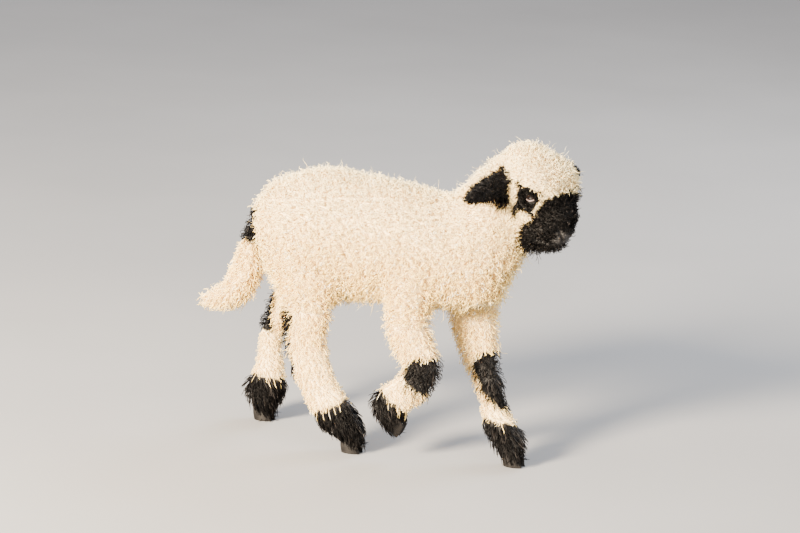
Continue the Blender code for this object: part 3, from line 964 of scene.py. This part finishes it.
def mixed(tree, share, first, second):
    """A colour between two."""
    mix = node(tree, "ShaderNodeMix", data_type="RGBA")
    for number, value in ((0, share), (6, first), (7, second)):
        feed(tree, mix.inputs[number], value)
    return mix.outputs[2]


def ranged(tree, value, low, high, to_low=0.0, to_high=1.0):
    """A value carried over from one range to another."""
    made = node(tree, "ShaderNodeMapRange")
    feed(tree, made.inputs["Value"], value)
    feed(tree, made.inputs["From Min"], low)
    feed(tree, made.inputs["From Max"], high)
    feed(tree, made.inputs["To Min"], to_low)
    feed(tree, made.inputs["To Max"], to_high)
    return made.outputs["Result"]


def shared_effect(name, inputs, output):
    """An empty node group with named inputs, one named output, and its inner ends."""
    group = bpy.data.node_groups.new(name, "ShaderNodeTree")
    for label, kind in inputs:
        group.interface.new_socket(label, in_out="INPUT", socket_type=kind)
    group.interface.new_socket(output[0], in_out="OUTPUT", socket_type=output[1])
    return group, node(group, "NodeGroupInput").outputs, node(group, "NodeGroupOutput").inputs


def placed(tree, group, values):
    """The shared effect used in a material with the material's own values."""
    made = node(tree, "ShaderNodeGroup", node_tree=group)
    for label, value in values.items():
        feed(tree, made.inputs[label], value)
    return made.outputs[0]


def speckle_group():
    """Noise on the object's own coordinates, spread between two levels."""
    numbers = [(label, "NodeSocketFloat") for label in ("Scale", "Low", "High", "From", "To")]
    group, given, result = shared_effect("speckle", numbers, ("Mask", "NodeSocketFloat"))
    noise = node(group, "ShaderNodeTexNoise")
    noise.inputs["Detail"].default_value = 3.0
    feed(group, noise.inputs["Vector"], node(group, "ShaderNodeTexCoord").outputs["Object"])
    feed(group, noise.inputs["Scale"], given["Scale"])
    mask = ranged(group, noise.outputs["Fac"], given["Low"], given["High"], given["From"], given["To"])
    feed(group, result["Mask"], mask)
    return group


def fleece_group():
    """A lock's colour from root to tip: darkened towards the root as painted shade deep in the fleece, with
    the lock's own tone, the warmth of its place on the body, and a few scarce locks of their own colour,
    which on the black fleece are painted glints.
    """
    numbers = [(label, "NodeSocketFloat") for label in ("Tone", "Reach", "Warmth")]
    colours = [(label, "NodeSocketColor") for label in ("Root Shade", "Warm", "Pale", "Rare Tone And Glint")]
    group, given, result = shared_effect("fleece", numbers + colours, ("Colour", "NodeSocketColor"))
    tips = mixed(group, given["Warmth"], given["Pale"], given["Warm"])
    own = mixed(group, ranged(group, given["Tone"], 0.0, 0.8, 0.35, 0.0), tips, given["Root Shade"])
    # The scarcest locks get a colour of their own: paler ones on the cream fleece, and on the black, grey
    # ones that are painted glints on the curls.
    rare_tone_and_glint = mixed(group, ranged(group, given["Tone"], 0.90, 0.93), own, given["Rare Tone And Glint"])
    # Painted shade: each lock darkens towards its root, where the fleece lies deep.
    out_of_root_shade = ranged(group, given["Reach"], 0.05, 0.60)
    feed(group, result["Colour"], mixed(group, out_of_root_shade, given["Root Shade"], rare_tone_and_glint))
    return group


# The root colours are painted shade deep in the fleece, darker than the tips.
CREAM = {
    "Root Shade": (0.78, 0.51, 0.17, 1),
    "Warm": (0.96, 0.71, 0.21, 1),
    "Pale": (0.98, 0.86, 0.51, 1),
    "Rare Tone And Glint": (0.98, 0.90, 0.66, 1),
}
# The black's scarcest locks are painted glints: a few grey locks stand in for highlights on the black curls.
BLACK = {
    "Root Shade": (0.0010, 0.0008, 0.0008, 1),
    "Warm": (0.0030, 0.0024, 0.0021, 1),
    "Pale": (0.0030, 0.0026, 0.0024, 1),
    "Rare Tone And Glint": (0.030, 0.026, 0.024, 1),
}


def fleece_material(name, fleece, colours, roughness, gloss, sheen):
    made, tree, shader = new_material(name)
    lock = {label: attribute(tree, label.lower()) for label in ("Tone", "Reach", "Warmth")}
    feed(tree, shader.inputs["Base Color"], placed(tree, fleece, {**lock, **colours}))
    shader.inputs["Roughness"].default_value = roughness
    shader.inputs["Specular IOR Level"].default_value = gloss
    shader.inputs["Sheen Weight"].default_value = sheen
    shader.inputs["Sheen Roughness"].default_value = 0.4
    return made


def speckled(tree, speckle, scale, low, high, start=0.0, end=1.0):
    return placed(tree, speckle, {"Scale": scale, "Low": low, "High": high, "From": start, "To": end})


def skin_material(speckle):
    made, tree, shader = new_material("skin")
    fine = speckled(tree, speckle, 420.0, 0.32, 0.68)
    warm = attribute(tree, "warmth")
    # The skin under the wool follows the same warmth, with its painted sky light high up and on what faces
    # up.
    under_wool = mixed(tree, warm, (0.90, 0.76, 0.48, 1), (0.84, 0.60, 0.25, 1))
    under_wool = mixed(tree, fine, under_wool, (0.90, 0.74, 0.42, 1))
    under_black = mixed(tree, fine, (0.002, 0.0017, 0.0017, 1), (0.006, 0.005, 0.0045, 1))
    coat = mixed(tree, attribute(tree, "dark"), under_wool, under_black)
    bare = mixed(tree, fine, (0.004, 0.0034, 0.0034, 1), (0.009, 0.0075, 0.0075, 1))
    flesh = mixed(tree, attribute(tree, "lid"), bare, (0.26, 0.19, 0.18, 1))
    feed(tree, shader.inputs["Base Color"], mixed(tree, attribute(tree, "bare"), coat, flesh))
    feed(tree, shader.inputs["Roughness"], ranged(tree, attribute(tree, "bare"), 0, 1, 0.85, 0.55))
    bump = node(tree, "ShaderNodeBump")
    bump.inputs["Strength"].default_value = 0.7
    bump.inputs["Distance"].default_value = 0.0012
    feed(tree, bump.inputs["Height"], fine)
    feed(tree, shader.inputs["Normal"], bump.outputs["Normal"])
    return made


def eye_material(speckle):
    made, tree, shader = new_material("eye")
    iris = attribute(tree, "iris")
    pupil = attribute(tree, "pupil")
    rays = speckled(tree, speckle, 900.0, 0.35, 0.7)
    brown = mixed(tree, rays, (0.010, 0.005, 0.003, 1), (0.036, 0.017, 0.007, 1))
    white = mixed(tree, iris, (0.060, 0.042, 0.036, 1), brown)
    feed(tree, shader.inputs["Base Color"], mixed(tree, pupil, white, (0.002, 0.002, 0.003, 1)))
    shader.inputs["Roughness"].default_value = 0.06
    shader.inputs["Coat Weight"].default_value = 1.0
    shader.inputs["Coat Roughness"].default_value = 0.02
    return made


def claw_material(speckle):
    made, tree, shader = new_material("claw")
    rings = ranged(tree, attribute(tree, "ring"), 0.0, 1.0)
    base = mixed(tree, rings, (0.003, 0.0026, 0.0022, 1), (0.008, 0.0066, 0.0056, 1))
    worn = mixed(tree, speckled(tree, speckle, 160.0, 0.45, 0.70), base, (0.014, 0.012, 0.010, 1))
    feed(tree, shader.inputs["Base Color"], worn)
    feed(tree, shader.inputs["Roughness"], speckled(tree, speckle, 300.0, 0.3, 0.7, 0.46, 0.68))
    shader.inputs["Specular IOR Level"].default_value = 0.2
    return made


# Eyes and claws

# The eyeball, by how far a place on it faces out: the cornea's height and edge, and the iris's edge. Then the
# pupil's half length and half height, and how square its ends are.
CORNEA_HEIGHT = 0.0007
CORNEA_EDGE = (0.80, 0.97)
IRIS_EDGE = (0.70, 0.76)
PUPIL_HALF = (0.36, 0.17)
PUPIL_SQUARENESS = 2.6


def build_eye(side, name, material):
    """Eyeball with a cornea; its iris and pupil are masks in the eye's own frame."""
    shape = bmesh.new()
    bmesh.ops.create_uvsphere(shape, u_segments=48, v_segments=32, radius=1.0)
    way = Vector((0.10, side, 0.05)).normalized()
    iris, pupil = [], []
    for vertex in shape.verts:
        direction = vertex.co.normalized()
        facing = direction.dot(way)
        vertex.co = direction * (EYE_RADIUS + CORNEA_HEIGHT * float(ramp(facing, *CORNEA_EDGE)))
        iris.append(float(ramp(facing, *IRIS_EDGE)))
        along, up = about_eye(np.array([direction]) + np.array([(EYE_ALONG, 0, EYE_UP)]))
        wide, high = abs(along[0] / PUPIL_HALF[0]), abs(up[0] / PUPIL_HALF[1])
        oval = (wide**PUPIL_SQUARENESS + high**PUPIL_SQUARENESS) ** (1 / PUPIL_SQUARENESS)
        pupil.append(float(ramp(oval, 1.1, 0.9)) * (facing > 0))
    shape.transform(eye_place(side))
    mesh = mesh_of(name, shape)
    put(mesh, "iris", iris)
    put(mesh, "pupil", pupil)
    mesh.shade_smooth()
    mesh.materials.append(material)
    seated(linked(name, mesh), "eye", name.replace("eyeball", "eye"))


# The claws, and for each foot its place on the floor, heading and tip in degrees
CLAW_LENGTH = 0.030
CLAW_WIDTH = 0.0136
CLAW_HEIGHT = 0.020
CLAW_PARTING = 0.0014
RING_SPACING = 0.0026
FEET = {
    "hind_left": (Vector((-0.238, 0.045, 0.0)), 0.0, 0.0),
    "hind_right": (Vector((-0.050, -0.045, 0.0)), 0.0, 0.0),
    "fore_left": (Vector((0.192, 0.008, 0.0)), -4.0, 0.0),
    "fore_right": (Vector((0.018, -0.050, 0.050)), 0.0, 58.0),
}


def claw_mesh(name, side):
    """One claw pointing along +X, sole at zero, with faint growth rings round its wall."""
    levels, sides = 15, 30
    heights = np.concatenate([[0.0, 0.0006], np.linspace(0.0016, CLAW_HEIGHT, levels - 2)])
    scale = np.interp(heights / CLAW_HEIGHT, (0, 0.5, 1), (0.96, 0.90, 0.70))
    back = np.interp(heights / CLAW_HEIGHT, (0, 0.5, 1), (0, -0.0030, -0.0065))
    ring = 0.5 + 0.5 * np.sin(heights * 2 * math.pi / RING_SPACING)
    shape = bmesh.new()
    loops, values = [], []
    for i, height in enumerate(heights):
        grow = scale[i] - (0.035 if i == 0 else 0.0) - 0.008 * ring[i]
        loop = []
        for k in range(sides):
            turn = 2 * math.pi * k / sides
            x = math.cos(turn)
            point = CLAW_LENGTH / 2 * grow * (x if x < 0 else x * (1.0 + 0.12 * x))
            bulge = math.sin(turn) * (1 - 0.45 * max(0.0, x) ** 2)
            y = CLAW_WIDTH / 2 * grow * bulge * (1.0 if bulge * side > 0 else 0.72)
            inner = side * (CLAW_PARTING / 2 + CLAW_WIDTH / 2 * 0.80)
            loop.append(shape.verts.new((point + back[i], y + inner, height)))
            values.append(ring[i])
        loops.append(loop)
    for first, second in zip(loops, loops[1:]):
        for k in range(sides):
            after = (k + 1) % sides
            shape.faces.new((first[k], first[after], second[after], second[k]))
    shape.faces.new(loops[0][::-1])
    shape.faces.new(loops[-1])
    bmesh.ops.recalc_face_normals(shape, faces=shape.faces)
    mesh = mesh_of(name, shape)
    put(mesh, "ring", values)
    return mesh


def build_claws(material):
    for foot, (spot, heading, tip) in FEET.items():
        place = Matrix.Translation(SHIFT + spot) @ Matrix.Rotation(math.radians(heading), 4, "Z")
        place = place @ Matrix.Rotation(math.radians(tip), 4, "Y")
        for side, which in ((1, "left"), (-1, "right")):
            mesh = claw_mesh(f"horn_{foot}_{which}", side)
            mesh.transform(place)
            mesh.shade_smooth()
            mesh.materials.append(material)
            seated(linked(mesh.name, mesh), "hoof", f"claw_{foot}_{which}")


# Floor, lights and camera


def stage_floor(speckle):
    shape = bmesh.new()
    bmesh.ops.create_grid(shape, x_segments=1, y_segments=1, size=12.0)
    mesh = mesh_of("floor", shape)
    made, tree, shader = new_material("floor")
    clouds = speckled(tree, speckle, 1.5, 0.3, 0.7)
    pale = mixed(tree, clouds, (0.21, 0.21, 0.21, 1), (0.235, 0.235, 0.235, 1))
    feed(tree, shader.inputs["Base Color"], pale)
    shader.inputs["Roughness"].default_value = 0.9
    mesh.materials.append(made)
    floor = linked("floor", mesh)


def stage_light(name, place, size, power, colour):
    light = bpy.data.lights.new(name, "AREA")
    light.size = size
    light.energy = power
    light.color = colour
    lamp = bpy.data.objects.new(name, light)
    bpy.context.scene.collection.objects.link(lamp)
    lamp.location = place
    aim = Vector((0.0, 0.0, 0.25)) - Vector(place)
    lamp.rotation_euler = aim.to_track_quat("-Z", "Y").to_euler()


def stage_world():
    world = bpy.data.worlds.new("studio")
    bpy.context.scene.world = world
    world.use_nodes = True
    sky = world.node_tree.nodes["Background"]
    sky.inputs["Color"].default_value = (0.90, 0.92, 1.0, 1)
    sky.inputs["Strength"].default_value = 1.3
    stage_light("sun_side", (-1.25, -2.95, 1.6), 0.9, 1420, (1.0, 0.84, 0.64))
    stage_light("fill", (2.6, -1.6, 1.6), 2.0, 70, (1.0, 0.94, 0.86))
    stage_light("rim", (0.8, 2.4, 2.4), 1.5, 150, (0.90, 0.94, 1.0))


def stage_camera():
    """The photograph's viewing angle, distance and roll."""
    lens = bpy.data.cameras.new("camera")
    lens.sensor_width = 36.0
    lens.lens = lens.sensor_width * PIXELS_PER_METRE * CAMERA_DISTANCE / PHOTO_WIDTH
    camera = bpy.data.objects.new("camera", lens)
    bpy.context.scene.collection.objects.link(camera)
    back = Vector((
        math.sin(CAMERA_AZIMUTH) * math.cos(CAMERA_HEIGHT),
        -math.cos(CAMERA_AZIMUTH) * math.cos(CAMERA_HEIGHT),
        math.sin(CAMERA_HEIGHT),
    ))
    level = Vector((math.cos(CAMERA_AZIMUTH), math.sin(CAMERA_AZIMUTH), 0))
    upright = back.cross(level)
    right = level * math.cos(CAMERA_ROLL) + upright * math.sin(CAMERA_ROLL)
    up = upright * math.cos(CAMERA_ROLL) - level * math.sin(CAMERA_ROLL)
    camera.matrix_world = Matrix.Translation(SHIFT + CAMERA_TARGET + back * CAMERA_DISTANCE) @ Matrix(
        (right, up, back)
    ).transposed().to_4x4()
    bpy.context.scene.camera = camera


def main():
    stage_camera()
    speckle = speckle_group()
    fleece = fleece_group()
    stage_floor(speckle)
    stage_world()
    outline = fused_flesh()
    skin = skin_under(outline)
    unwrap(skin)
    coat = Coat(skin, outline)
    bpy.data.objects.remove(outline)
    put(skin.data, "dark", coat.dark)
    put(skin.data, "warmth", warmth_and_painted_sky_light(coat.points, coat.normals))
    put(skin.data, "bare", bare_skin(coat.points, coat.zones))
    put(skin.data, "lid", lower_lids(coat.points))
    skin.data.materials.clear()
    skin.data.materials.append(skin_material(speckle))
    seated(skin, "cream_wool", *FLESH)
    eyes = eye_material(speckle)
    build_eye(-1, "eyeball_right", eyes)
    build_eye(1, "eyeball_left", eyes)
    build_claws(claw_material(speckle))
    fleeces = {
        "cream": fleece_material("cream fleece", fleece, CREAM, 0.65, 0.30, 0.25),
        "black": fleece_material("black fleece", fleece, BLACK, 0.40, 0.08, 0.0),
    }
    grow_coat(coat, fleeces)


main()
